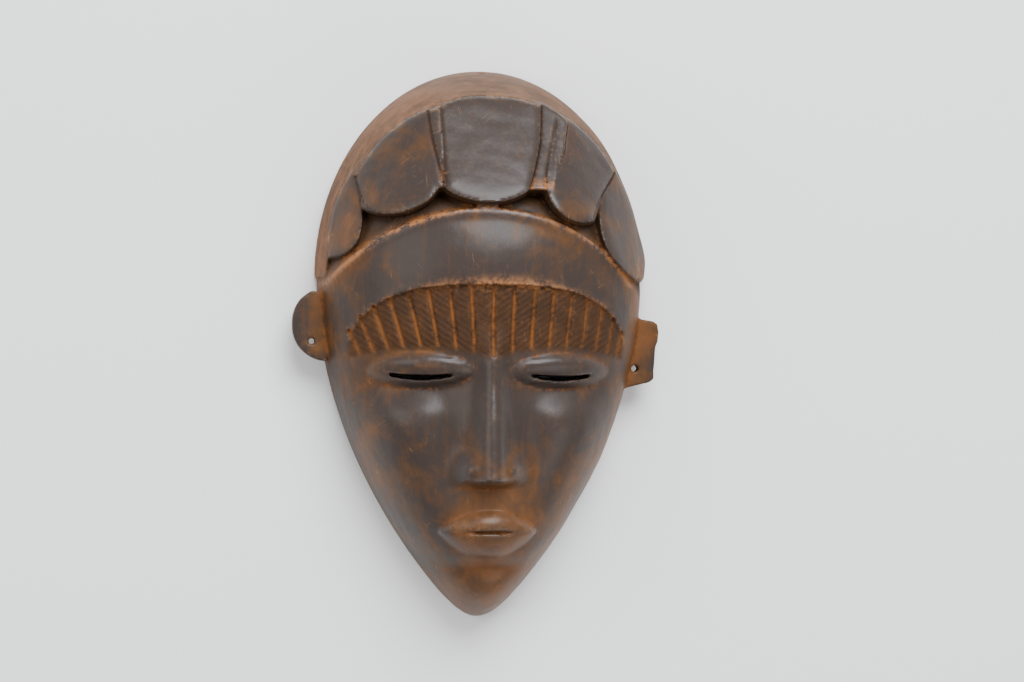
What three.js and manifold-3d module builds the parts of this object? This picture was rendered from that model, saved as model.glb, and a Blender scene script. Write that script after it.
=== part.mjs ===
// A carved wooden face mask in the manner of the Baule and Dan carvers: one hollowed shell of wood with a
// swelling forehead, a fan of scored lines over the brow, narrow lowered eyes, and a headdress of five flat
// plates that overlap like scales. It lies on the flat rim of its hollow back, with the face up.
// Units are millimetres. X runs across the face, +Y to the crown, +Z out of it, and the rim is at Z = 0.

import * as THREE from 'three';
import { mergeVertices } from 'three/addons/utils/BufferGeometryUtils.js';
import Module from 'manifold-3d';

const wasm = await Module();
wasm.setup();

// Overall sizes
const maskHeight = 290;
const maskWidth = 172;
const domeDepth = 78;
const widestAboveChin = 180;
const chinRound = 12;

// The hollow: the wall left at the rim, at the two ends and at the front
const rimWall = 12;
const endWall = 14;
const frontWall = 15;

// Ears: flat pierced flanges at the sides. The head sits a little to the right between them.
const earSpan = 194;
const headAside = 2.6;
const earThickness = 9;
const earAboveRim = 14;
const earRoot = 7;
const earHoleDiameter = 3.6;
const earHoleFromCheek = 3.6;

// Holes through the side wall for the hanging cord
const cordHoleDiameter = 3.4;
const cordHoleAboveRim = 11;
const shoulderHeight = 96;

// Headdress: five plates cut on a cap of wood that is steeper than the face's dome
const capHeight = 122;
const capMargin = 1.2;
const plateFlare = 2.6;
const bevelWidth = 1.8;
const bevelDrop = 5.5;
const gapDepth = 3.2;
const hairlineRecess = 3.9;
const hairRadius = 102;
const hairDrop = 3.3;
const hairAside = -4;

// The scored brow
const browPanelDepth = 3.2;
const groovesPerSide = 8;
const grooveWidth = 3.3;
const grooveDepth = 1.9;
const grooveStep = 7.5;

// Cuts in the face
const slitOpening = 2.8;
const slitFrom = 20;
const slitTo = 120;
const lipCreaseWidth = 2.2;
const lipCreaseDepth = 3;

// Lines of the face, from the rule of thirds and the rule of five eyes
const crown = maskHeight / 2 - capMargin;
const chin = -maskHeight / 2;
const widest = chin + widestAboveChin;
const halfWidth = maskWidth / 2;
const hairline = maskHeight / 4;
const third = (hairline - chin) / 3;
const browLine = hairline - third;
const noseBase = browLine - third;
const mouthLine = noseBase - third / 3;
const eyeWidth = maskWidth / 5;
const eyeLine = browLine - eyeWidth * 0.45;

const clamp = (v, low, high) => Math.min(high, Math.max(low, v));
const bell = (v, spread) => Math.exp(-((v / spread) ** 2));

function ease(from, to, v) {
  const t = clamp((v - from) / (to - from), 0, 1);
  return t * t * (3 - 2 * t);
}

// Half the width of an egg-shaped outline at height y. inset is the wall taken off, more at the ends.
function halfWidthAt(y, inset = 0, endInset = 0) {
  const half = halfWidth - inset;
  const reach = (y > widest ? crown - widest : widest - chin) - endInset;
  const t = clamp(Math.abs(y - widest) / reach, 0, 1);
  if (y > widest) return half * Math.sqrt(1 - t * t);
  const sharp = Math.hypot(half, chinRound) - chinRound;
  return Math.sqrt((sharp * (1 - t * t) + chinRound) ** 2 - chinRound ** 2);
}

// A dome over that outline. squareY and squareX make its profile and its sections boxier.
function domeOver(x, y, shape) {
  const reach = (y > widest ? crown - widest : widest - chin) - shape.endInset;
  const t = clamp(Math.abs(y - widest) / reach, 0, 1);
  const half = halfWidthAt(y, shape.inset, shape.endInset);
  const across = half > 0 ? clamp(Math.abs(x) / half, 0, 1) : 1;
  const profile = (1 - t ** shape.powerY) ** shape.rootY;
  const section = (1 - across ** shape.powerX) ** shape.rootX;
  return shape.depth * profile * section;
}

const faceDome = {
  depth: domeDepth,
  inset: 0,
  endInset: 0,
  powerY: 2.8,
  rootY: 0.45,
  powerX: 2.5,
  rootX: 0.42,
};
const capDome = {
  depth: capHeight,
  inset: -capMargin,
  endInset: -capMargin,
  powerY: 2.5,
  rootY: 0.75,
  powerX: 2.6,
  rootX: 0.66,
};
const hollowDome = {
  ...faceDome,
  depth: domeDepth - frontWall,
  inset: rimWall,
  endInset: endWall,
};

// The soft forms of the face, added to the dome
function forehead(x, y) {
  return 7 * bell(x, 52) * bell(y - (browLine + 42), 30);
}

function eyeSocket(x, y) {
  return -8 * bell(Math.abs(x) - eyeWidth * 1.05, eyeWidth * 0.85) * bell(y - (eyeLine - 5), 12);
}

function eyelids(x, y) {
  const along = (Math.abs(x) - eyeWidth * 1.05) / (eyeWidth * 0.78);
  const up = (y - (eyeLine + 1.5)) / 9;
  return 7 * Math.max(0, 1 - along ** 2 - up ** 2) ** 0.8;
}

function nose(x, y) {
  const length = browLine - 4 - noseBase;
  const t = clamp((browLine - 4 - y) / length, 0, 1);
  const ridge = (5 + 12 * t ** 1.2) * Math.exp(-(Math.abs(x / (6.5 + 4 * t)) ** 2.4));
  const wings = 10 * bell(Math.abs(x) - eyeWidth * 0.3, 7) * bell(y - (noseBase + 8), 8);
  const underside = ease(noseBase - 2, noseBase + 3, y);
  const root = ease(browLine + 12, browLine - 12, y);
  return Math.max(ridge, wings) * underside * root;
}

function muzzle(x, y) {
  return 7 * bell(x, 30) * bell(y - mouthLine, 22);
}

function lips(x, y) {
  const t = clamp(Math.abs(x) / (eyeWidth * 0.76), 0, 1);
  const reach = y > mouthLine ? 11 * (1 - t ** 2) : 14 * (1 - t ** 2);
  if (reach <= 0) return 0;
  const up = clamp(Math.abs(y - mouthLine) / reach, 0, 1);
  return 6.5 * (1 - up ** 2) ** 0.75 * (1 - t ** 2) ** 0.4;
}

function chinBall(x, y) {
  const ball = 5 * bell(x, 15) * bell(y - (chin + 14), 10);
  const crease = -3.5 * bell(x, 22) * bell(y - (mouthLine - 19), 5);
  return ball + crease;
}

function cheeks(x, y) {
  const bone = 3 * bell(Math.abs(x) - 50, 16) * bell(y - (eyeLine - 26), 18);
  const besideNose = -3 * bell(Math.abs(x) - 22, 9) * bell(y - (noseBase + 22), 26);
  return bone + besideNose;
}

// Distance from the centre of the hairline's arc
function fromHairCentre(x, y) {
  return Math.hypot(x - hairAside, y - (hairline - hairDrop - hairRadius));
}

// The forehead ends in a low rim at the hairline. Behind it the head drops away under the plates.
function hairRim(x, y) {
  const rim = 1.3 * bell(fromHairCentre(x, y) - hairRadius + 1.5, 3);
  const drop = -8 * ease(hairRadius + 3, hairRadius + 16, fromHairCentre(x, y));
  return (rim + drop) * ease(22, 36, y);
}

function faceHeight(x, y) {
  const base = domeOver(x, y, faceDome);
  const forms = [hairRim, forehead, eyeSocket, eyelids, nose, muzzle, lips, chinBall, cheeks];
  const relief = forms.reduce((sum, form) => sum + form(x, y), 0);
  return base + relief * ease(0, 26, base);
}

// Closed solids from points and triangles
function solidOf(geometry) {
  const bare = geometry.index ? geometry.toNonIndexed() : geometry.clone();
  bare.deleteAttribute('normal');
  bare.deleteAttribute('uv');
  const merged = mergeVertices(bare, 1e-4);
  const corners = [...merged.index.array];
  const triVerts = [];
  for (let i = 0; i < corners.length; i += 3) {
    const [a, b, c] = corners.slice(i, i + 3);
    if (a !== b && b !== c && c !== a) triVerts.push(a, b, c);
  }
  return new wasm.Manifold(
    new wasm.Mesh({
      numProp: 3,
      vertProperties: new Float32Array(merged.attributes.position.array),
      triVerts: new Uint32Array(triVerts),
    }),
  );
}

// The triangles of the largest shell, without the specks that two crossing surfaces can leave
function largestShell(triVerts, pointCount) {
  const parent = Array.from({ length: pointCount }, (_, i) => i);
  const rootOf = (i) => {
    while (parent[i] !== i) i = parent[i] = parent[parent[i]];
    return i;
  };
  for (let i = 0; i < triVerts.length; i += 3) {
    parent[rootOf(triVerts[i + 1])] = rootOf(triVerts[i]);
    parent[rootOf(triVerts[i + 2])] = rootOf(triVerts[i]);
  }
  const shells = new Map();
  for (let i = 0; i < triVerts.length; i += 3) {
    const root = rootOf(triVerts[i]);
    if (!shells.has(root)) shells.set(root, []);
    shells.get(root).push(triVerts[i], triVerts[i + 1], triVerts[i + 2]);
  }
  return [...shells.values()].sort((a, b) => b.length - a.length)[0];
}

function geometryOf(solid) {
  const mesh = solid.getMesh();
  const geometry = new THREE.BufferGeometry();
  geometry.setAttribute('position', new THREE.BufferAttribute(mesh.vertProperties, 3));
  geometry.setIndex(largestShell(mesh.triVerts, mesh.vertProperties.length / 3));
  return mergeVertices(geometry, 1e-4);
}

function trianglesToGeometry(triangles) {
  const geometry = new THREE.BufferGeometry();
  geometry.setAttribute('position', new THREE.Float32BufferAttribute(triangles.flat(2), 3));
  return geometry;
}

function quad(list, a, b, c, d) {
  list.push([a, b, c], [a, c, d]);
}

// Heights of the cross sections, from chin to crown, close together at the ends and where gap says so
function sectionHeights(low, high, gap) {
  const heights = [low];
  while (heights.at(-1) < high) {
    const y = heights.at(-1);
    const fromEnd = Math.min(y - low, high - y);
    heights.push(y + Math.min(gap(y), 0.7 + 0.3 * fromEnd));
  }
  const stretch = (high - low) / (heights.at(-1) - low);
  return heights.map((y) => low + (y - low) * stretch);
}

// Shares of the half width, from left to right, close together at the middle and at the sides
function columnShares(perSide, crowding) {
  const shareOf = (i) => Math.sin((Math.PI / 2) * ((i + 1) / perSide) ** crowding);
  const right = Array.from({ length: perSide }, (_, i) => shareOf(i));
  return [...right.map((v) => -v).reverse(), 0, ...right];
}

// A solid with a flat underside at Z = 0, whose top is surface(x, y) over the outline half(y)
function loft(heights, shares, half, surface) {
  const rows = heights.map((y) =>
    shares.map((share) => {
      const x = half(y) * share;
      const edge = Math.abs(share) === 1 || half(y) === 0;
      return [x, y, edge ? 0 : surface(x, y)];
    }),
  );
  const triangles = [];
  for (let i = 0; i + 1 < rows.length; i++) {
    const [here, next] = [rows[i], rows[i + 1]];
    for (let j = 0; j + 1 < here.length; j++) quad(triangles, here[j], here[j + 1], next[j + 1], next[j]);
    quad(triangles, here[0], next[0], next.at(-1), here.at(-1));
  }
  return solidOf(trianglesToGeometry(triangles));
}

// A slab over a patch of the plan: place(u, v) gives its plan points, low and high its two surfaces
function slab(uSteps, vSteps, place, low, high) {
  const grid = (surface) =>
    Array.from({ length: uSteps + 1 }, (_, i) =>
      Array.from({ length: vSteps + 1 }, (_, j) => {
        const [x, y] = place(i / uSteps, j / vSteps);
        return [x, y, surface(x, y, i / uSteps, j / vSteps)];
      }),
    );
  const [under, over] = [grid(low), grid(high)];
  const triangles = [];
  for (let i = 0; i < uSteps; i++) {
    for (let j = 0; j < vSteps; j++) {
      quad(triangles, over[i][j], over[i + 1][j], over[i + 1][j + 1], over[i][j + 1]);
      quad(triangles, under[i][j], under[i][j + 1], under[i + 1][j + 1], under[i + 1][j]);
    }
    quad(triangles, under[i][0], under[i + 1][0], over[i + 1][0], over[i][0]);
    quad(triangles, over[i][vSteps], over[i + 1][vSteps], under[i + 1][vSteps], under[i][vSteps]);
  }
  for (let j = 0; j < vSteps; j++) {
    quad(triangles, over[0][j], over[0][j + 1], under[0][j + 1], under[0][j]);
    quad(triangles, under[uSteps][j], under[uSteps][j + 1], over[uSteps][j + 1], over[uSteps][j]);
  }
  return solidOf(trianglesToGeometry(triangles));
}

// A straight-sided prism over a plan shape, from z = low up to top(x, y)
function prism(shape, low, top, curveSegments = 6) {
  const geometry = new THREE.ExtrudeGeometry(shape, { depth: 1, bevelEnabled: false, curveSegments });
  const position = geometry.attributes.position;
  for (let i = 0; i < position.count; i++) {
    const [x, y] = [position.getX(i), position.getY(i)];
    position.setZ(i, position.getZ(i) > 0.5 ? top(x, y) : low);
  }
  return solidOf(geometry);
}

// An outline with points added, so that none of its edges is longer than most
function shortened(outline, most) {
  return outline.flatMap((point, i) => {
    const next = outline[(i + 1) % outline.length];
    const steps = Math.ceil(point.distanceTo(next) / most);
    return Array.from({ length: steps }, (_, k) => point.clone().lerp(next, k / steps));
  });
}

// A thick plate of wood: its top lies on surface, its rim falls away as a steep bevel, and it goes far down
function plateOver(corners, surface) {
  const outline = shortened(THREE.ShapeUtils.isClockWise(corners) ? [...corners].reverse() : corners, 15);
  const count = outline.length;
  const middle = outline.reduce((sum, point) => sum.add(point), new THREE.Vector2()).divideScalar(count);
  const normalAfter = (i) => {
    const edge = outline[(i + 1) % count].clone().sub(outline[i]).normalize();
    return new THREE.Vector2(edge.y, -edge.x);
  };
  const foot = outline.map((point, i) => {
    const [before, after] = [normalAfter((i + count - 1) % count), normalAfter(i)];
    const mitre = before.clone().add(after).divideScalar(1 + before.dot(after));
    return point.clone().addScaledVector(mitre, bevelWidth);
  });
  const ringAt = (share) =>
    outline.map((point) => {
      const { x, y } = middle.clone().lerp(point, share);
      return [x, y, surface(x, y)];
    });
  const centre = [middle.x, middle.y, surface(middle.x, middle.y)];
  const tops = [ringAt(0.35), ringAt(0.7), ringAt(1)];
  const skirt = foot.map(({ x, y }, i) => [x, y, tops.at(-1)[i][2] - bevelDrop]);
  const base = foot.map(({ x, y }) => [x, y, farBelow]);
  const rings = [...tops, skirt, base];
  const triangles = [];
  for (let i = 0; i < count; i++) {
    const j = (i + 1) % count;
    triangles.push([centre, rings[0][i], rings[0][j]]);
    for (let r = 0; r + 1 < rings.length; r++) {
      const [inner, outer] = [rings[r], rings[r + 1]];
      quad(triangles, inner[i], outer[i], outer[j], inner[j]);
    }
  }
  const floor = THREE.ShapeUtils.triangulateShape(foot, []);
  for (const [a, b, c] of floor) triangles.push([base[a], base[c], base[b]]);
  return solidOf(trianglesToGeometry(triangles));
}

function faceBlank() {
  const finer = (y) => {
    const nearEyes = bell(y - eyeLine, 14);
    const nearMouth = bell(y - mouthLine, 16);
    const nearNoseBase = bell(y - noseBase, 6);
    return 6 - 3 * Math.max(nearEyes, nearMouth, nearNoseBase);
  };
  const half = (y) => halfWidthAt(y);
  return loft(sectionHeights(chin, crown, finer), columnShares(14, 1.3), half, faceHeight);
}

function hollow() {
  const heights = sectionHeights(chin + endWall, crown - endWall, () => 14);
  const half = (y) => halfWidthAt(y, rimWall, endWall);
  const belowRim = 1;
  const roof = (x, y) => domeOver(x, y, hollowDome);
  return loft(heights, columnShares(7, 1), half, roof).translate([0, 0, -belowRim]);
}

// The headdress
const beyondCrown = crown + 4;
const beyondCheek = halfWidth + 7;
const farBelow = -2 * maskHeight;

// A plate's top: height z at [x0, y0], falling away outwards and upwards, rounded across by bend
function plateTop([x0, y0], z, { outwards = 0, upwards, bend = 0 }, side = 1) {
  return (x, y) => {
    const out = side * x - x0;
    return z - outwards * out - upwards * (y - y0) - bend * out * out;
  };
}

const centreTop = plateTop([0, 75], 84.5, { upwards: 0.55 });
const middleFall = { outwards: 0.7, upwards: 0.52, bend: 0.009 };
const sideFall = { outwards: 1.35, upwards: 0.5, bend: 0.03 };

// A plate's outline: a foot curved by four points, then straight lines through the rest of its corners
function plateOutline(foot, steps, corners, side = 1) {
  const curve = new THREE.CubicBezierCurve(...foot.map(([x, y]) => new THREE.Vector2(x, y)));
  const points = [...curve.getPoints(steps), ...corners.map(([x, y]) => new THREE.Vector2(x, y))];
  return points.map(({ x, y }) => new THREE.Vector2(side * x, y));
}

function centrePlate() {
  const foot = [[-25, 79], [-16, 70.5], [8, 69.5], [17.5, 79]];
  const corners = [[20.5, 88], [24.5, 104], [25.5, 118], [27, beyondCrown], [-35, beyondCrown], [-30, 104]];
  return plateOver(plateOutline(foot, 8, corners), centreTop);
}

function middlePlates() {
  const left = plateOutline(
    [[29, 79], [36, 66], [58, 62.5], [65, 71]],
    7,
    [[67.5, 84], [69, 95], [74, 109], [60, beyondCrown], [27.5, beyondCrown], [26, 80]],
    -1,
  );
  const right = plateOutline(
    [[27.5, 80], [27.5, 66], [44, 60], [51.5, 64]],
    7,
    [[57, 77], [67, 91], [78, 107], [60, beyondCrown], [42, beyondCrown], [35, 115], [30.5, 99], [27.7, 88]],
  );
  return [
    plateOver(left, plateTop([45, 67], 77.2, middleFall, -1)),
    plateOver(right, plateTop([45, 67], 76.8, middleFall)),
  ];
}

function sidePlate(side, foot, corners) {
  const outer = [[beyondCheek, corners.at(-1)[1]], [beyondCheek, beyondCrown], [60, beyondCrown]];
  const outline = plateOutline(foot, 7, [...corners, ...outer], side);
  return plateOver(outline, plateTop([66, 50], 60.8, sideFall, side));
}

// The strip of lower wood that shows between the middle plate and its right neighbour
function gapFloor() {
  const corners = [[17, 79], [30, 79], [37, 100], [44, beyondCrown], [23, beyondCrown], [22, 100]];
  return plateOver(corners.map(([x, y]) => new THREE.Vector2(x, y)), (x, y) => centreTop(x, y) - gapDepth);
}

function capOver(flare) {
  const heights = sectionHeights(chin - capMargin, crown + capMargin, (y) => (y < 30 ? 20 : 4));
  const half = (y) => halfWidthAt(y, -capMargin, -capMargin) + flare * bell(y - 45, 14);
  const top = (x, y) => domeOver((x * halfWidthAt(y, -capMargin, -capMargin)) / half(y), y, capDome);
  return loft(heights, columnShares(12, 0.9), half, top);
}

function headdress() {
  const leftSide = sidePlate(-1, [[66.5, 72], [64.5, 58], [68, 45], [80, 44.5]], [[82, 44], [84, 36]]);
  const rightSide = sidePlate(1, [[57, 67], [55, 50], [66, 40], [78, 34]], [[82, 34.5], [88, 38]]);
  const plates = [centrePlate(), ...middlePlates(), gapFloor(), leftSide];
  const joined = plates.reduce((sum, plate) => sum.add(plate));
  return joined.intersect(capOver(0)).add(rightSide.intersect(capOver(plateFlare)));
}

// The step behind the hairline: an arch cut back from the top edge of the forehead
function hairlineCut() {
  const centreY = hairline - hairDrop - hairRadius;
  const place = (u, v) => {
    const angle = (u * 2 - 1) * (Math.PI / 180) * 54;
    const r = hairRadius + 26 * v;
    return [hairAside + r * Math.sin(angle), centreY + r * Math.cos(angle)];
  };
  const depth = (u) => (hairlineRecess + 1) * ease(0, 0.1, u) * ease(1, 0.9, u) - 1;
  const floor = (x, y, u) => faceHeight(x, y) - depth(u);
  return slab(36, 4, place, floor, (x, y) => faceHeight(x, y) + 16);
}

// The scored brow: a sunk panel under the overhanging forehead, and a fan of grooves in it
const panelHalf = halfWidth * 0.84;
const panelHeight = 33;

function browCrest(x) {
  return browLine - 3 - 5 * ((Math.abs(x) - eyeWidth * 1.05) / eyeWidth) ** 2;
}

function panelTop(x) {
  const t = clamp(Math.abs(x) / panelHalf, 0, 1);
  return browLine - 4 + (panelHeight + 1) * Math.sqrt(1 - t ** 3);
}

// How far down the panel is cut at [x, y]: nothing along the brow's crest, most under the forehead
function panelSink(x, y) {
  const v = clamp((y - browCrest(x)) / (panelTop(x) - browCrest(x)), 0, 1);
  return ((browPanelDepth + 0.6) * v - 0.6) * (1 - 0.5 * Math.abs(x / panelHalf));
}

function browPanel() {
  const place = (u, v) => {
    const x = panelHalf * Math.sin((u - 0.5) * Math.PI * 0.98);
    return [x, browCrest(x) + (panelTop(x) - browCrest(x)) * v];
  };
  const floor = (x, y) => faceHeight(x, y) - panelSink(x, y);
  return slab(24, 4, place, floor, (x, y) => faceHeight(x, y) + 10);
}

// The fan leans outwards at the top, more on the left than on the right
function grooveCuts() {
  const cuts = [];
  for (let k = -groovesPerSide; k <= groovesPerSide; k++) {
    const middle = panelHalf * 1.1 * Math.sin((k * grooveStep * Math.PI) / 180);
    const slant = (k < 0 ? 0.0062 : 0.0026) * middle;
    const low = browCrest(middle) + 1;
    const high = panelTop(middle) - 1.2;
    const place = (u, v) => {
      const y = low + (high - low) * (0.5 - 0.5 * Math.cos(Math.PI * v));
      const taper = v === 0 || v === 1 ? 0.3 : 1;
      return [middle + slant * (y - (low + high) / 2) + (u - 0.5) * grooveWidth * taper, y];
    };
    const bottom = (x, y, u) => faceHeight(x, y) - panelSink(x, y) - (u === 0.5 ? grooveDepth : -0.2);
    cuts.push(slab(2, 5, place, bottom, (x, y) => faceHeight(x, y) + 8));
  }
  return cuts;
}

function eyeSlit(side) {
  const half = eyeWidth * 0.58;
  const middle = side * eyeWidth * 1.05;
  const place = (u, v) => {
    const t = 2 * u - 1;
    const open = Math.max(0.1, slitOpening * Math.sqrt(Math.max(0, 1 - t * t)));
    return [middle + half * t, eyeLine - 2 + 2.2 * t * t + (v - 0.5) * open];
  };
  return slab(10, 1, place, () => slitFrom, () => slitTo);
}

function lipCrease() {
  const half = eyeWidth * 0.78;
  const place = (u, v) => {
    const t = 2 * u - 1;
    const open = Math.max(0.1, lipCreaseWidth * (1 - t * t));
    return [half * t, mouthLine - 1.5 * t * t + (v - 0.5) * open];
  };
  const bottom = (x, y, u, v) => faceHeight(x, mouthLine) - (v === 0.5 ? lipCreaseDepth : 0.3);
  return slab(12, 2, place, bottom, (x, y) => faceHeight(x, y) + 8);
}

function earShapes() {
  const out = earSpan / 2;
  const left = new THREE.Shape();
  const rootLeft = -(halfWidth - earRoot);
  left.moveTo(rootLeft, 26);
  left.lineTo(-halfWidth - 1, 27);
  left.bezierCurveTo(-out + 5, 24, -out, 20, -out, 9);
  left.bezierCurveTo(-out, 0, -halfWidth - 5, -9, rootLeft, -10);
  const right = new THREE.Shape();
  const rootRight = halfWidth - earRoot;
  right.moveTo(rootRight, -23);
  right.lineTo(out - 5, -20);
  right.quadraticCurveTo(out - 2, -19, out - 2.5, -14);
  right.lineTo(out - 1.5, -1);
  right.quadraticCurveTo(out, 1, out, 5);
  right.quadraticCurveTo(out, 12, out - 3, 12.5);
  right.lineTo(rootRight, 15);
  return { left, right };
}

function ears() {
  const { left, right } = earShapes();
  const top = () => earAboveRim + earThickness;
  const both = prism(left, earAboveRim, top, 7).add(prism(right, earAboveRim, top, 4));
  return both.translate([-headAside, 0, 0]);
}

function cylinderCut(diameter, length, place) {
  const geometry = new THREE.CylinderGeometry(diameter / 2, diameter / 2, length, 12);
  geometry.applyMatrix4(place);
  return solidOf(geometry);
}

function earHoles() {
  const alongZ = new THREE.Matrix4().makeRotationX(Math.PI / 2);
  return [[-1, 0.5], [1, -12.5]].map(([side, y]) => {
    const x = side * (halfWidthAt(y) + earHoleFromCheek) - headAside;
    const centre = earAboveRim + earThickness / 2;
    const place = new THREE.Matrix4().makeTranslation(x, y, centre).multiply(alongZ);
    return cylinderCut(earHoleDiameter, earThickness + 8, place);
  });
}

// Cord holes run through the wall near the rim: one at the crown, one at the left shoulder
function cordHoles() {
  const shoulder = new THREE.Vector3(-halfWidthAt(shoulderHeight), shoulderHeight, cordHoleAboveRim);
  const atCrown = new THREE.Vector3(0, crown, cordHoleAboveRim);
  return [[atCrown, 0], [shoulder, Math.PI / 4]].map(([point, turn]) => {
    const place = new THREE.Matrix4().makeTranslation(point.x, point.y, point.z);
    place.multiply(new THREE.Matrix4().makeRotationZ(turn));
    return cylinderCut(cordHoleDiameter, 2 * (endWall + 10), place);
  });
}

function carveMask() {
  let solid = faceBlank();
  for (const cut of [hairlineCut(), browPanel(), ...grooveCuts(), lipCrease()]) solid = solid.subtract(cut);
  solid = solid.add(headdress()).add(ears());
  const through = [hollow(), eyeSlit(-1), eyeSlit(1), ...earHoles(), ...cordHoles()];
  return through.reduce((body, cut) => body.subtract(cut), solid).translate([headAside, 0, 0]);
}

const wood = new THREE.MeshStandardMaterial({ color: 0x4a3729, roughness: 0.45, metalness: 0 });
const mask = new THREE.Mesh(geometryOf(carveMask()), wood);
mask.name = 'mask';

const part = new THREE.Group();
part.add(mask);
export default part;
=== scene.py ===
"""A carved wooden face mask with a plated headdress, lying face up on the rim of its hollow back.

The mask is one piece of wood. Its form is worked out in millimetres from a few sizes, carved with
booleans, then softened and worn. X runs across the face, +Y to the crown, +Z out of it.
"""

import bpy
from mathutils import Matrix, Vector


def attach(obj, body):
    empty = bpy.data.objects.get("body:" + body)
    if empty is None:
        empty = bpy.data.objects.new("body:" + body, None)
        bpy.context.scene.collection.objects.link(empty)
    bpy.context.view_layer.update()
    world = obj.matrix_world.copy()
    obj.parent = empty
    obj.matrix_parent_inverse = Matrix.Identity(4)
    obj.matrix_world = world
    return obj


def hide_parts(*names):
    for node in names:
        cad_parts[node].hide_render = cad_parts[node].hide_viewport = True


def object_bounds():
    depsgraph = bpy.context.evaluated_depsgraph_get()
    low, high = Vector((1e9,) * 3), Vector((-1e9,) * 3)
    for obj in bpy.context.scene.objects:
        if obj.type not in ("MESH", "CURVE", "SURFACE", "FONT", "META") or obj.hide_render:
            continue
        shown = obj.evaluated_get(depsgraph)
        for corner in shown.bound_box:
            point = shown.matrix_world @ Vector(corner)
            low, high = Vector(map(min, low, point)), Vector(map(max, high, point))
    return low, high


bl_info = {
    "name": "Carved Face Mask",
    "version": (1, 0, 0),
    "blender": (4, 5, 0),
    "location": "View3D > Sidebar > Mask",
    "description": "Carves a wooden face mask with a plated headdress and lays it on a pale floor",
    "category": "Add Mesh",
}

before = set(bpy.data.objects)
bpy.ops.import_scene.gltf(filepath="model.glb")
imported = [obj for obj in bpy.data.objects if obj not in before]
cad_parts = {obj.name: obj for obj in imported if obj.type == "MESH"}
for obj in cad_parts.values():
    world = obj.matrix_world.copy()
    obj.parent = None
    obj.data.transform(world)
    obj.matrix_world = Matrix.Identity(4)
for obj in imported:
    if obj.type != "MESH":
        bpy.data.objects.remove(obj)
cad_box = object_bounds()

import math

import bpy
import numpy as np
from bpy.props import FloatProperty, FloatVectorProperty, IntProperty, PointerProperty
from mathutils import Matrix, Vector

MM = 0.001
FAR_BELOW = -400.0
MOST_TRIANGLES = 196000
LOWEST_FRONT = 25.0
CAD_HEIGHT = cad_box[1][1] - cad_box[0][1]
CAD_SPAN = cad_box[1][0] - cad_box[0][0]


# Plain curves and mixes


def ease(start, stop, value):
    t = np.clip((value - start) / (stop - start), 0.0, 1.0)
    return t * t * (3.0 - 2.0 * t)


def bell(value, spread):
    return np.exp(-((value / spread) ** 2))


def bezier(a, b, c, d, count):
    t = np.linspace(0.0, 1.0, count)[:, None]
    a, b, c, d = (np.array(p, float) for p in (a, b, c, d))
    return (1 - t) ** 3 * a + 3 * (1 - t) ** 2 * t * b + 3 * (1 - t) * t**2 * c + t**3 * d


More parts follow.
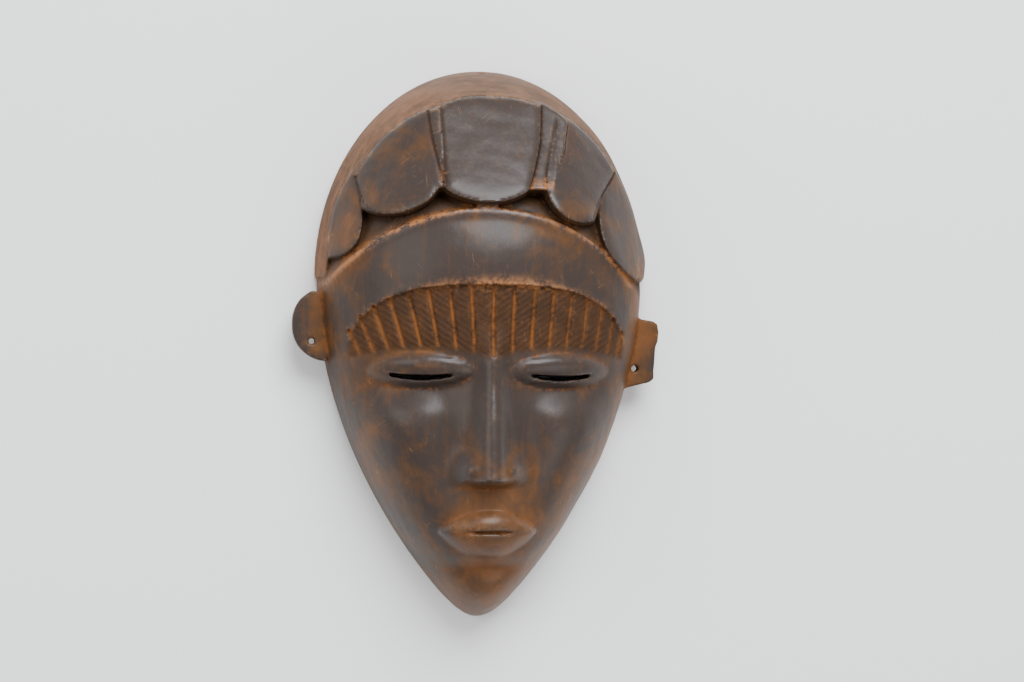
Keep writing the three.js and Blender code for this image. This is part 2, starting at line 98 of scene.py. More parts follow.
class MaskForm:
    """The shape of the mask as heights over its plan, in millimetres."""

    cap_margin = 1.2
    cap_height = 122.0
    hair_radius = 102.0
    hair_drop = 3.3
    hair_aside = -4.0
    head_aside = 2.6
    chin_round = 12.0
    face_powers = (2.8, 0.45, 2.5, 0.42)
    cap_powers = (2.5, 0.75, 2.6, 0.66)

    def __init__(self, sizes):
        height = sizes.height / MM
        self.half = sizes.head_width / MM / 2
        self.depth = sizes.dome_depth / MM
        self.ear_reach = sizes.ear_span / MM / 2
        self.crown = height / 2 - self.cap_margin
        self.chin = -height / 2
        self.widest = self.chin + 180.0 * height / 290.0
        self.hairline = height / 4
        third = (self.hairline - self.chin) / 3
        self.brow = self.hairline - third
        self.nose_base = self.brow - third
        self.mouth = self.nose_base - third / 3
        self.eye_width = 2 * self.half / 5
        self.eye = self.brow - self.eye_width * 0.45
        self.panel_half = self.half * 0.84
        self.panel_depth = sizes.panel_depth / MM
        self.walls = sizes.rim_wall / MM, sizes.end_wall / MM
        self.hollow_depth = self.depth - sizes.front_wall / MM

    def ends(self, y, end_inset):
        reach = np.where(y > self.widest, self.crown - self.widest, self.widest - self.chin) - end_inset
        return np.clip(np.abs(y - self.widest) / reach, 0.0, 1.0)

    def half_width(self, y, inset=0.0, end_inset=0.0):
        y = np.asarray(y, float)
        half = self.half - inset
        t = self.ends(y, end_inset)
        sharp = math.hypot(half, self.chin_round) - self.chin_round
        jaw = np.sqrt(np.maximum((sharp * (1 - t * t) + self.chin_round) ** 2 - self.chin_round**2, 0.0))
        return np.where(y > self.widest, half * np.sqrt(1 - t * t), jaw)

    def dome(self, x, y, depth, powers, inset=0.0, end_inset=0.0):
        power_y, root_y, power_x, root_x = powers
        t = self.ends(y, end_inset)
        half = np.maximum(self.half_width(y, inset, end_inset), 1e-6)
        across = np.clip(np.abs(x) / half, 0.0, 1.0)
        return depth * (1 - t**power_y) ** root_y * (1 - across**power_x) ** root_x

    def hollow(self, x, y):
        return self.dome(x, y, self.hollow_depth, self.face_powers, *self.walls)

    def cap(self, x, y):
        return self.dome(x, y, self.cap_height, self.cap_powers, -self.cap_margin, -self.cap_margin)

    def cap_half(self, y):
        return self.half_width(y, -self.cap_margin, -self.cap_margin)

    def from_hair_centre(self, x, y):
        return np.hypot(x - self.hair_aside, y - (self.hairline - self.hair_drop - self.hair_radius))

    def hair_rim(self, x, y):
        """The forehead's low rim at the hairline, and the drop behind it under the plates."""
        away = self.from_hair_centre(x, y) - self.hair_radius
        return (1.3 * bell(away + 1.5, 3) - 8 * ease(3, 16, away)) * ease(22, 36, y)

    def forehead(self, x, y):
        return 7 * bell(x, 52) * bell(y - (self.brow + 42), 30)

    def eye_socket(self, x, y):
        side = np.abs(x) - self.eye_width * 1.05
        return -8 * bell(side, self.eye_width * 0.85) * bell(y - (self.eye - 5), 12)

    def eyelids(self, x, y):
        along = (np.abs(x) - self.eye_width * 1.05) / (self.eye_width * 0.78)
        up = (y - (self.eye + 1.5)) / 9
        return 7 * np.maximum(0, 1 - along**2 - up**2) ** 0.8

    def nose(self, x, y):
        length = self.brow - 4 - self.nose_base
        t = np.clip((self.brow - 4 - y) / length, 0, 1)
        ridge = (5 + 12 * t**1.2) * np.exp(-(np.abs(x / (6.5 + 4 * t)) ** 2.4))
        wings = 10 * bell(np.abs(x) - self.eye_width * 0.3, 7) * bell(y - (self.nose_base + 8), 8)
        underside = ease(self.nose_base - 2, self.nose_base + 3, y)
        root = ease(self.brow + 12, self.brow - 12, y)
        return (ridge**4 + wings**4) ** 0.25 * underside * root

    def muzzle(self, x, y):
        return 7 * bell(x, 30) * bell(y - self.mouth, 22)

    def lips(self, x, y):
        t = np.clip(np.abs(x) / (self.eye_width * 0.76), 0, 1)
        reach = np.where(y > self.mouth, 11.0, 14.0) * (1 - t**2)
        up = np.clip(np.abs(y - self.mouth) / np.maximum(reach, 1e-6), 0, 1)
        return 6.5 * (1 - up**2) ** 0.75 * (1 - t**2) ** 0.4

    def chin_ball(self, x, y):
        ball = 5 * bell(x, 15) * bell(y - (self.chin + 14), 10)
        return ball - 3.5 * bell(x, 22) * bell(y - (self.mouth - 19), 5)

    def cheeks(self, x, y):
        bone = 3 * bell(np.abs(x) - 50, 16) * bell(y - (self.eye - 26), 18)
        return bone - 3 * bell(np.abs(x) - 22, 9) * bell(y - (self.nose_base + 22), 26)

    def face(self, x, y):
        base = self.dome(x, y, self.depth, self.face_powers)
        upper = (self.hair_rim, self.forehead, self.eye_socket, self.eyelids)
        lower = (self.nose, self.muzzle, self.lips, self.chin_ball, self.cheeks)
        return base + sum(form(x, y) for form in upper + lower) * ease(0, 26, base)

    def brow_crest(self, x):
        return self.brow - 3 - 5 * ((np.abs(x) - self.eye_width * 1.05) / self.eye_width) ** 2

    def panel_top(self, x):
        t = np.clip(np.abs(x) / self.panel_half, 0, 1)
        return self.brow - 4 + 34 * np.sqrt(1 - t**3)

    def panel_sink(self, x, y):
        """How far down the brow panel is cut: nothing along the crest, most under the forehead."""
        crest = self.brow_crest(x)
        v = np.clip((y - crest) / (self.panel_top(x) - crest), 0, 1)
        return ((self.panel_depth + 0.6) * v - 0.6) * (1 - 0.5 * np.abs(x / self.panel_half))


# Blocks and cutters, made from primitives whose points are then moved


def only(piece):
    bpy.ops.object.select_all(action="DESELECT")
    piece.select_set(True)
    bpy.context.view_layer.objects.active = piece


def primitive(name, add, **settings):
    bpy.ops.object.select_all(action="DESELECT")
    add(**settings)
    piece = bpy.context.object
    piece.name = name
    return piece


def read(items, key, width, kind=float):
    values = np.empty(len(items) * width, dtype=kind)
    items.foreach_get(key, values)
    return values.reshape(-1, width)


def points_of(piece):
    return read(piece.data.vertices, "co", 3)


def move_points(piece, points):
    piece.data.vertices.foreach_set("co", np.ascontiguousarray(points, dtype=float).ravel())
    piece.data.update()


def edit(piece, *steps):
    """Runs steps in edit mode, on what is selected there."""
    only(piece)
    bpy.ops.object.mode_set(mode="EDIT")
    for step in steps:
        step()
    bpy.ops.object.mode_set(mode="OBJECT")


def every_point():
    bpy.ops.mesh.select_all(action="SELECT")


def no_edge():
    bpy.ops.mesh.select_mode(type="EDGE")
    bpy.ops.mesh.select_all(action="DESELECT")


def close():
    bpy.ops.mesh.edge_face_add()


def outward():
    bpy.ops.mesh.normals_make_consistent(inside=False)


def grid_sheet(name, columns, rows):
    """A flat grid and the u and v of its points, both from 0 to 1."""
    grid = bpy.ops.mesh.primitive_grid_add
    sheet = primitive(name, grid, x_subdivisions=columns, y_subdivisions=rows, size=1)
    points = points_of(sheet)
    return sheet, points[:, 0] + 0.5, points[:, 1] + 0.5


def thickened_sheet(name, columns, rows, place, floor, rise):
    """A sheet laid on floor(x, y, u, v) over the plan points of place(u, v), and raised into a block."""
    sheet, u, v = grid_sheet(name, columns, rows)
    x, y = place(u, v)
    move_points(sheet, np.column_stack([x, y, floor(x, y, u, v)]))
    lift = lambda: bpy.ops.mesh.extrude_region_move(TRANSFORM_OT_translate={"value": (0, 0, rise)})
    edit(sheet, every_point, lift, every_point, outward)
    return sheet


def domed_block(name, columns, rows, low, high, half, surface):
    """A closed block with a flat underside, domed by surface(x, y) inside the outline half(y)."""
    sheet, u, v = grid_sheet(name, columns, rows)
    share = np.sin(np.pi / 2 * (2 * u - 1))
    y = (low + high) / 2 + (high - low) / 2 * np.sin(np.pi / 2 * (2 * v - 1))
    x = half(y) * share
    on_edge = (u < 1e-6) | (u > 1 - 1e-6) | (v < 1e-6) | (v > 1 - 1e-6)
    move_points(sheet, np.column_stack([x, y, np.where(on_edge, 0.0, surface(x, y))]))
    merge = lambda: bpy.ops.mesh.remove_doubles(threshold=1e-4)
    edit(sheet, every_point, merge, bpy.ops.mesh.region_to_loop, close, every_point, outward)
    return sheet


def select_edges_among(block, chosen):
    """Leaves only the edges selected whose two points are both in chosen."""
    edit(block, no_edge)
    for edge in block.data.edges:
        edge.select = edge.vertices[0] in chosen and edge.vertices[1] in chosen


def stacked_outline(name, rings):
    """A closed block whose walls run through rings of points, with its first and last rings filled."""
    circle = bpy.ops.mesh.primitive_circle_add
    block = primitive(name, circle, vertices=len(rings[0]), radius=1, fill_type="NGON")
    start = points_of(block)
    place = np.argsort(np.argsort(np.arctan2(start[:, 1], start[:, 0])))
    move_points(block, rings[0][place])
    newest = np.arange(len(place))
    repeat = lambda: bpy.ops.mesh.extrude_edges_move(TRANSFORM_OT_translate={"value": (0, 0, 0)})
    for ring in rings[1:]:
        before = len(block.data.vertices)
        select_edges_among(block, set(newest.tolist()))
        edit(block, repeat)
        points = points_of(block)
        gaps = np.linalg.norm(points[before:, None] - points[None, newest], axis=2)
        place = place[gaps.argmin(axis=1)]
        newest = np.arange(before, len(points))
        points[newest] = ring[place]
        move_points(block, points)
    select_edges_among(block, set(newest.tolist()))
    edit(block, close, every_point, outward)
    return block


def round_peg(name, diameter, length, centre, turn_x, turn_z):
    shape = {"vertices": 24, "radius": diameter / 2, "depth": length}
    shape.update(location=centre, rotation=(turn_x, 0, turn_z))
    peg = primitive(name, bpy.ops.mesh.primitive_cylinder_add, **shape)
    bpy.ops.object.transform_apply(location=True, rotation=True, scale=True)
    return peg


def apply_modifier(piece, kind, **settings):
    modifier = piece.modifiers.new(kind.title(), kind)
    for key, value in settings.items():
        setattr(modifier, key, value)
    only(piece)
    bpy.ops.object.modifier_apply(modifier=modifier.name)


def carve(piece, cutter, operation="DIFFERENCE"):
    apply_modifier(piece, "BOOLEAN", operation=operation, object=cutter, solver="MANIFOLD")
    mesh = cutter.data
    bpy.data.objects.remove(cutter)
    bpy.data.meshes.remove(mesh)
    if not len(piece.data.polygons):
        raise RuntimeError("carving left nothing of " + piece.name)


# The parts of the carving


def face_block(form):
    return domed_block("face_block", 150, 240, form.chin, form.crown, form.half_width, form.face)


def hairline_cutter(form, recess):
    radius, centre = form.hair_radius, form.hairline - form.hair_drop - form.hair_radius

    def place(u, v):
        angle = np.radians((2 * u - 1) * 54)
        r = radius + 26 * v
        return form.hair_aside + r * np.sin(angle), centre + r * np.cos(angle)

    def floor(x, y, u, v):
        return form.face(x, y) - ((recess + 1) * ease(0, 0.1, u) * ease(1, 0.9, u) - 1)

    return thickened_sheet("hairline", 140, 22, place, floor, 20)


def brow_cutter(form):
    def place(u, v):
        x = form.panel_half * np.sin((u - 0.5) * np.pi * 0.98)
        crest = form.brow_crest(x)
        return x, crest + (form.panel_top(x) - crest) * v

    floor = lambda x, y, u, v: form.face(x, y) - form.panel_sink(x, y)
    return thickened_sheet("brow_panel", 110, 28, place, floor, 14)


def groove_lines(form, sizes):
    """A fan of grooves, leaning outwards more on the left: middle, slant, low end and high end."""
    for number in range(-sizes.grooves_per_side, sizes.grooves_per_side + 1):
        middle = form.panel_half * 1.1 * math.sin(number * sizes.groove_step)
        slant = (0.0062 if number < 0 else 0.0026) * middle
        yield middle, slant, float(form.brow_crest(middle)) + 1, float(form.panel_top(middle)) - 1.2


def groove_cutters(form, sizes):
    width, depth = sizes.groove_width / MM, sizes.groove_depth / MM
    for middle, slant, low, high in groove_lines(form, sizes):

        def place(u, v):
            along = 0.5 - 0.5 * np.cos(np.pi * v)
            y = low + (high - low) * along
            taper = np.sqrt(np.maximum(0.1, 1 - np.abs(2 * along - 1) ** 6))
            return middle + slant * (y - (low + high) / 2) + (u - 0.5) * width * taper, y

        def floor(x, y, u, v):
            return form.face(x, y) - form.panel_sink(x, y) - depth * (1 - (2 * u - 1) ** 2) + 0.2

        yield thickened_sheet("groove", 8, 22, place, floor, 14)


def lip_cutter(form, width, depth):
    half = form.eye_width * 0.78

    def place(u, v):
        t = 2 * u - 1
        return half * t, form.mouth - 1.5 * t * t + (v - 0.5) * np.maximum(0.1, width * (1 - t * t))

    def floor(x, y, u, v):
        return form.face(x, np.full_like(x, form.mouth)) - depth * (1 - (2 * v - 1) ** 2) - 0.3

    return thickened_sheet("lip_line", 60, 6, place, floor, 14)


def eye_cutter(form, side, opening):
    half, middle = form.eye_width * 0.58, side * form.eye_width * 1.05

    def place(u, v):
        t = 2 * u - 1
        tall = np.maximum(0.1, opening * np.sqrt(np.maximum(0, 1 - t * t)))
        return middle + half * t, form.eye - 2 + 2.2 * t * t + (v - 0.5) * tall

    in_hollow = lambda x, y, u, v: np.full_like(x, 20.0)
    return thickened_sheet("eye_slit", 40, 4, place, in_hollow, 100)


def rounded(outline):
    """Cuts each corner of a closed outline into a short turn."""
    after = np.roll(outline, -1, axis=0)
    return np.stack([0.8 * outline + 0.2 * after, 0.2 * outline + 0.8 * after], axis=1).reshape(-1, 2)


def counterclockwise(outline):
    after = np.roll(outline, -1, axis=0)
    area = np.sum(outline[:, 0] * after[:, 1] - after[:, 0] * outline[:, 1])
    return outline if area > 0 else outline[::-1]


def shortened(outline, most):
    """The same closed outline with points added, so that none of its edges is longer than most."""
    points = []
    for a, b in zip(outline, np.roll(outline, -1, axis=0)):
        steps = max(1, math.ceil(np.linalg.norm(b - a) / most))
        points += [a + (b - a) * k / steps for k in range(steps)]
    return np.array(points)


class Headdress:
    """Five plates that overlap on the head, the middle one proudest, and the lower strip beside it."""

    middle_fall = (0.7, 0.52, 0.009)
    side_fall = (1.35, 0.5, 0.03)

    def __init__(self, form, sizes):
        self.form = form
        self.lift = sizes.plate_lift / MM
        self.gap_depth = sizes.gap_depth / MM
        self.beyond_crown = form.crown + 4
        self.beyond_cheek = form.half + 7

    def top(self, start, z, fall, side=1):
        """A plate's top: height z at start, falling outwards and upwards, rounded across by a bend."""
        outwards, upwards, bend = fall

        def height(x, y):
            out = side * x - start[0]
            return z + self.lift - outwards * out - upwards * (y - start[1]) - bend * out * out

        return height

    def outline(self, foot, corners, side=1):
        points = np.vstack([bezier(*foot, 24), corners]) * (side, 1)
        return rounded(counterclockwise(shortened(points, 4.0)))

    def centre_top(self, drop=0.0):
        return self.top((0, 75), 80.3 - drop, (0, 0.55, 0))

    def centre(self):
        foot = ((-25, 79), (-16, 70.5), (8, 69.5), (17.5, 79))
        far = self.beyond_crown
        corners = [(20.5, 88), (24.5, 104), (25.5, 118), (27, far), (-35, far), (-30, 104)]
        return self.outline(foot, corners), self.centre_top()

    def middle_left(self):
        foot = ((29, 79), (36, 66), (58, 62.5), (65, 71))
        far = self.beyond_crown
        corners = [(67.5, 84), (69, 95), (74, 109), (60, far), (27.5, far), (26, 80)]
        return self.outline(foot, corners, -1), self.top((45, 67), 73.0, self.middle_fall, -1)

    def middle_right(self):
        foot = ((27.5, 80), (27.5, 66), (44, 60), (51.5, 64))
        far = self.beyond_crown
        corners = [(57, 77), (67, 91), (78, 107), (60, far), (42, far), (35, 115), (30.5, 99), (27.7, 88)]
        return self.outline(foot, corners), self.top((45, 67), 72.6, self.middle_fall)

    def side_plate(self, side, foot, corners):
        across, up = self.beyond_cheek, self.beyond_crown
        corners = corners + [(across, corners[-1][1]), (across, up), (60, up)]
        return self.outline(foot, corners, side), self.top((66, 50), 56.6, self.side_fall, side)

    def side_left(self):
        foot = ((66.5, 72), (64.5, 58), (68, 45), (80, 44.5))
        return self.side_plate(-1, foot, [(82, 44), (84, 36)])

    def side_right(self):
        foot = ((57, 67), (55, 50), (66, 40), (78, 34))
        return self.side_plate(1, foot, [(82, 34.5), (88, 38)])

    def gap_floor(self):
        far = self.beyond_crown
        corners = [(17, 79), (30, 79), (37, 100), (44, far), (23, far), (22, 100)]
        return counterclockwise(np.array(corners, float)), self.centre_top(self.gap_depth)

    def plates(self):
        middles = [self.centre(), self.middle_left(), self.middle_right()]
        return middles + [self.side_left(), self.side_right()]


def plate_block(outline, height, bevel_width, bevel_drop):
    edge = np.roll(outline, -1, axis=0) - outline
    edge /= np.linalg.norm(edge, axis=1)[:, None]
    after = np.column_stack([edge[:, 1], -edge[:, 0]])
    before = np.roll(after, 1, axis=0)
    mitre = (before + after) / (1 + np.sum(before * after, axis=1))[:, None]
    foot = outline + mitre * bevel_width
    middle = outline.mean(axis=0)
    rings = []
    for share in (0.04, 0.2, 0.4, 0.6, 0.8, 1.0):
        ring = middle + (outline - middle) * share
        rings.append(np.column_stack([ring, height(ring[:, 0], ring[:, 1])]))
    skirt = np.column_stack([foot, rings[-1][:, 2] - bevel_drop])
    base = np.column_stack([foot, np.full(len(foot), FAR_BELOW)])
    return stacked_outline("plate", rings + [skirt, base])


def cap_block(form, flare):
    half = lambda y: form.cap_half(y) + flare * bell(y - 45, 14)
    top = lambda x, y: form.cap(x * form.cap_half(y) / np.maximum(half(y), 1e-6), y)
    margin = form.cap_margin
    return domed_block("cap", 120, 200, form.chin - margin, form.crown + margin, half, top)


def headdress_block(form, headdress, sizes):
    bevel_width, bevel_drop = sizes.bevel_width / MM, sizes.bevel_drop / MM
    made = lambda part: plate_block(*part, bevel_width, bevel_drop)
    body = made(headdress.centre())
    middles = [headdress.middle_left(), headdress.middle_right()]
    for part in middles + [headdress.gap_floor(), headdress.side_left()]:
        carve(body, made(part), "UNION")
    carve(body, cap_block(form, 0.0), "INTERSECT")
    right = made(headdress.side_right())
    carve(right, cap_block(form, sizes.plate_flare / MM), "INTERSECT")
    carve(body, right, "UNION")
    return body


def hollow_cutter(form):
    end = form.walls[1]
    half = lambda y: form.half_width(y, *form.walls)
    block = domed_block("hollow", 90, 140, form.chin + end, form.crown - end, half, form.hollow)
    points = points_of(block)
    points[:, 2] -= 1
    move_points(block, points)
    return block


def ear_block(form, side, low, thickness):
    out, half, root = form.ear_reach, form.half, form.half - 7
    if side < 0:
        upper = bezier((-half - 1, 27), (-out + 5, 24), (-out, 20), (-out, 9), 14)
        lower = bezier((-out, 9), (-out, 0), (-half - 5, -9), (-root, -10), 14)[1:]
        outline = np.vstack([[(-root, 26)], upper, lower])
    else:
        corners = [(root, -23), (out - 5, -20), (out - 2.4, -18), (out - 2.5, -14), (out - 1.5, -1)]
        corners += [(out - 0.2, 2), (out, 7), (out - 0.8, 11), (out - 3, 12.5), (root, 15)]
        outline = np.array(corners, float)
    outline = counterclockwise(outline - (form.head_aside, 0))
    level = lambda z: np.column_stack([outline, np.full(len(outline), z)])
    return stacked_outline("ear", [level(low + thickness), level(low)])


def hole_cutters(form, ear_level):
    """Pegs for the ears' piercings, then for the cord holes at the crown and at the left shoulder."""
    ear_hole, cord_hole, cord_level, shoulder = 3.6, 3.4, 11, 96
    for side, y in ((-1, 0.5), (1, -12.5)):
        x = side * (float(form.half_width(y)) + ear_hole) - form.head_aside
        yield round_peg("ear_hole", ear_hole, 20, (x, y, ear_level), 0, 0)
    yield round_peg("crown_hole", cord_hole, 48, (0, form.crown, cord_level), math.pi / 2, 0)
    place = (-float(form.half_width(shoulder)), shoulder, cord_level)
    yield round_peg("shoulder_hole", cord_hole, 48, place, math.pi / 2, math.pi / 4)


def carved_body(form, headdress, sizes):
    """Every cut and join of the carving, in the order that the solid was made in."""
    ear_low, ear_thickness, lip_width, lip_depth = 14.0, 9.0, 2.2, 3.0
    body = face_block(form)
    carve(body, hairline_cutter(form, sizes.hairline_recess / MM))
    carve(body, brow_cutter(form))
    for groove in groove_cutters(form, sizes):
        carve(body, groove)
    carve(body, lip_cutter(form, lip_width, lip_depth))
    carve(body, headdress_block(form, headdress, sizes), "UNION")
    for side in (-1, 1):
        carve(body, ear_block(form, side, ear_low, ear_thickness), "UNION")
    carve(body, hollow_cutter(form))
    for side in (-1, 1):
        carve(body, eye_cutter(form, side, sizes.slit_opening / MM))
    for peg in hole_cutters(form, ear_low + ear_thickness / 2):
        carve(body, peg)
    return body


# The worn surface


def relaxed(values, edges, rounds):
    """Averages each point's value with its neighbours', several times over."""
    count = len(values)
    a, b = edges[:, 0], edges[:, 1]
    near = np.maximum(np.bincount(a, minlength=count) + np.bincount(b, minlength=count), 1)[:, None]
    for _ in range(rounds):
        sums = np.empty_like(values)
        for k in range(values.shape[1]):
            sums[:, k] = np.bincount(a, values[b, k], count) + np.bincount(b, values[a, k], count)
        values = 0.5 * values + 0.5 * sums / near
    return values


def proud_of_surroundings(points, normals, edges, rounds):
    """How far each point stands proud of the smoothed surface, or below 0 where it lies in a hollow."""
    return np.sum((points - relaxed(points, edges, rounds)) * normals, axis=1)


def ripples(points, length, seed):
    """A smooth wandering value from -1 to 1, from a few crossing waves about length long."""
    draw = np.random.default_rng(seed)
    total = np.zeros(len(points))
    for _ in range(7):
        direction = draw.normal(size=3)
        direction *= 2 * np.pi / (length * draw.uniform(0.7, 1.5) * np.linalg.norm(direction))
        total += np.sin(points @ direction + draw.uniform(0, 2 * np.pi))
    return total / 3.5


def inside_outline(outline, x, y):
    inside = np.zeros(len(x), dtype=bool)
    for (ax, ay), (bx, by) in zip(outline, np.roll(outline, -1, axis=0)):
        if ay == by:
            continue
        crosses = ((ay > y) != (by > y)) & (x < (bx - ax) * (y - ay) / (by - ay) + ax)
        inside ^= crosses
    return inside


def outline_distance(outline, x, y):
    best = np.full(len(x), 1e9)
    points = np.column_stack([x, y])
    for a, b in zip(outline, np.roll(outline, -1, axis=0)):
        along = np.clip((points - a) @ (b - a) / max(np.sum((b - a) ** 2), 1e-9), 0, 1)
        best = np.minimum(best, np.linalg.norm(points - a - along[:, None] * (b - a), axis=1))
    return best


def pad_plates(points, headdress, swell):
    """Swells each plate's top into a low pad, lower near its edges, and says which points it moved."""
    on_plate = np.zeros(len(points))
    for outline, height in headdress.plates():
        x, y, z = points.T
        near = np.abs(z - height(x, y)) < 0.9
        chosen = np.flatnonzero(near & inside_outline(outline, x, y) & (z > 1))
        if not len(chosen):
            continue
        far = outline_distance(outline, x[chosen], y[chosen])
        from_back = np.clip(headdress.form.cap(x[chosen], y[chosen]) - z[chosen], 0, 12)
        room = np.minimum(far, from_back * 1.6 + 0.4)
        points[chosen, 2] += swell * (1 - np.exp(-room / 7)) - 0.45 * swell * np.exp(-((room / 2.2) ** 2))
        on_plate[chosen] = 1.0
    return on_plate


def plate_lines(points, headdress, bevel_width):
    """Where each point is on the headdress: in a seam, on the plates' upper ridge, or in the gap."""
    x, y, z = points.T
    upper = np.flatnonzero((y > 25) & (z > 10))
    x, y, z = x[upper], y[upper], z[upper]
    seam, top = np.zeros(len(upper)), np.full(len(upper), -99.0)
    outline, height = headdress.gap_floor()
    covered = inside_outline(outline, x, y)
    cap = headdress.form.cap(x, y)
    in_gap = covered & (np.abs(z - height(x, y)) < 1.0)
    for outline, height in headdress.plates():
        inside = inside_outline(outline, x, y)
        level = z - height(x, y)
        beside = np.flatnonzero(~inside & (level > -3.4) & (level < 1.0) & (z < cap - 0.7))
        away = outline_distance(outline, x[beside], y[beside])
        seam[beside] = np.maximum(seam[beside], bell(away - 0.5 * bevel_width, 0.8))
        top = np.where(inside, np.maximum(top, height(x, y)), top)
        covered = covered | inside
    seam *= covered
    places = np.zeros((3, len(points)))
    places[:, upper] = seam, bell(top - cap, 1.0), in_gap
    return places


def back_surface(points, normals, form):
    """How far each point belongs to the hollow at the back: 1 on it, 0 on the front."""
    x, y, z = points.T
    roof = form.hollow(x, y) - 1
    within = np.abs(x) < form.half_width(y, *form.walls) + 1.5
    return (within & (normals[:, 2] < 0.25) & (z < roof + 2.5)).astype(float)


def store(piece, name, values):
    attribute = piece.data.attributes.new(name, "FLOAT", "POINT")
    attribute.data.foreach_set("value", np.ascontiguousarray(values, dtype=np.float32))


def uneven_surface(points, normals, form, seam, in_back):
    """The points moved by the knife's unevenness, deeper in the hollow, within the solid's box."""
    uneven = 0.16 * ripples(points, 34, 3) + 0.07 * ripples(points, 11, 8)
    uneven += in_back * (0.5 * ripples(points, 19, 21) + 0.25 * ripples(points, 8, 5))
    uneven = uneven * ease(0.0, 6.0, points[:, 2]) - 0.45 * seam
    aside = np.array((form.head_aside, 0.0, 0.0))
    low, high = (np.array(corner) / MM - aside for corner in cad_box)
    return np.clip(points + normals * uneven[:, None], low, high)


def brow_masks(points, front, form, sizes):
    """The brow panel, its grooves, and the rim over it."""
    x, y, z = points.T
    front = front * (z > LOWEST_FRONT)
    crest, top = form.brow_crest(x), form.panel_top(x)
    share = (y - crest) / np.maximum(top - crest, 1)
    panel = ease(-0.05, 0.08, share) * ease(1.06, 0.97, share)
    panel *= ease(form.panel_half + 1, form.panel_half - 3, np.abs(x)) * front
    grooves = np.zeros(len(points))
    for middle, slant, low, high in groove_lines(form, sizes):
        line = middle + slant * (y - (low + high) / 2)
        span = ease(low - 1, low + 3, y) * ease(high + 1.5, high - 1, y)
        grooves = np.maximum(grooves, bell(x - line, 0.3 * sizes.groove_width / MM) * span)
    edge = bell(y - top - 0.6, 1.3 + 1.7 * bell(x - 4, 26)) * (0.25 + 0.75 * bell(x - 6, 30))
    return panel, grooves * front, edge * front * (np.abs(x) < form.panel_half)


def hair_masks(points, front, form):
    """The band behind the plates, the cove under them, and the hairline's edge."""
    x, y, z = points.T
    past_hair = form.from_hair_centre(x, y) - form.hair_radius
    under_cap = form.cap(x, y) - z
    on_band = (np.abs(under_cap) < 1.5) | (z < 14)
    band = ease(1, 5, past_hair) * front * (y > 20) * on_band
    cove = ease(0.8, 5.0, past_hair) * front * (y > 20) * (z > 14) * (under_cap > 1.5)
    edge = bell(past_hair + 0.9, 1.3) * front * (y > 30) * (z > 20)
    return band, cove, edge * (0.36 + 0.64 * bell(x + 46, 30))


def wear_down(piece, form, headdress, sizes):
    """Rounds the plates, adds the unevenness of the knife, and stores where dirt, rubbing, painted shade
    and a painted highlight go.
    """
    points = points_of(piece)
    edges = read(piece.data.edges, "vertices", 2, np.int64)
    on_plate = pad_plates(points, headdress, sizes.plate_swell / MM)
    normals = read(piece.data.vertices, "normal", 3)
    in_back = back_surface(points, normals, form)
    seam, ridge_line, gap = plate_lines(points, headdress, sizes.bevel_width / MM) * (1 - in_back)
    points = uneven_surface(points, normals, form, seam, in_back)
    move_points(piece, points)
    normals = read(piece.data.vertices, "normal", 3)
    fine = 4.2 * proud_of_surroundings(points, normals, edges, 6)
    broad = 0.75 * proud_of_surroundings(points, normals, edges, 60)
    panel, grooves, panel_edge = brow_masks(points, 1 - in_back, form, sizes)
    bare = (1 - in_back) * (1 - np.maximum(on_plate, gap))
    band, cove, hair_edge = hair_masks(points, bare, form)
    softened = lambda values, rounds: relaxed(values[:, None], edges, rounds)[:, 0]
    masks = {
        "cavity": np.clip(-fine, 0, 1),
        "ridge": np.clip(fine, 0, 1),
        "sunk": np.clip(-broad, 0, 1),
        "proud": np.clip(broad, 0, 1),
        "brow_panel": softened(panel, 2),
        "brow_grooves": grooves,
        "panel_edge": panel_edge,
        "back_band": softened(band, 6),
        "cove": softened(cove, 2),
        "hair_edge": hair_edge,
        "seam": seam,
        "ridge_line": ridge_line,
        "gap": softened(gap, 1),
        "inside": softened(in_back, 4),
    }
    for name, values in masks.items():
        store(piece, name, values)


def thin_out(piece, most):
    """Collapses the flattest places until the piece has no more than most triangles."""
    triangles = lambda: sum(len(face.vertices) - 2 for face in piece.data.polygons)
    if triangles() > most:
        apply_modifier(piece, "DECIMATE", decimate_type="COLLAPSE", ratio=most / triangles())
    if triangles() > most * 1.02:
        raise RuntimeError(f"{piece.name} still has {triangles()} triangles")


# Materials


class Wire:
    """One output socket of a shader node. Arithmetic on it adds Math nodes."""

    def __init__(self, finish, socket):
        self.finish = finish
        self.socket = socket

    def maths(self, operation, *values):
        sockets = dict(enumerate(values or (self,)))
        return self.finish.node("ShaderNodeMath", {"operation": operation}, sockets)

    def __add__(self, other):
        return self.maths("ADD", self, other)

    def __sub__(self, other):
        return self.maths("SUBTRACT", self, other)

    def __rsub__(self, other):
        return self.maths("SUBTRACT", other, self)

    def __mul__(self, other):
        return self.maths("MULTIPLY", self, other)

    __radd__ = __add__
    __rmul__ = __mul__

    def clamped(self):
        return self.maths("MINIMUM", self.maths("MAXIMUM", self, 0.0), 1.0)

    def between(self, low, high):
        """0 below low and 1 above high, smooth in between."""
        settings = {"interpolation_type": "SMOOTHSTEP"}
        sockets = {"Value": self, "From Min": low, "From Max": high}
        return self.finish.node("ShaderNodeMapRange", settings, sockets)


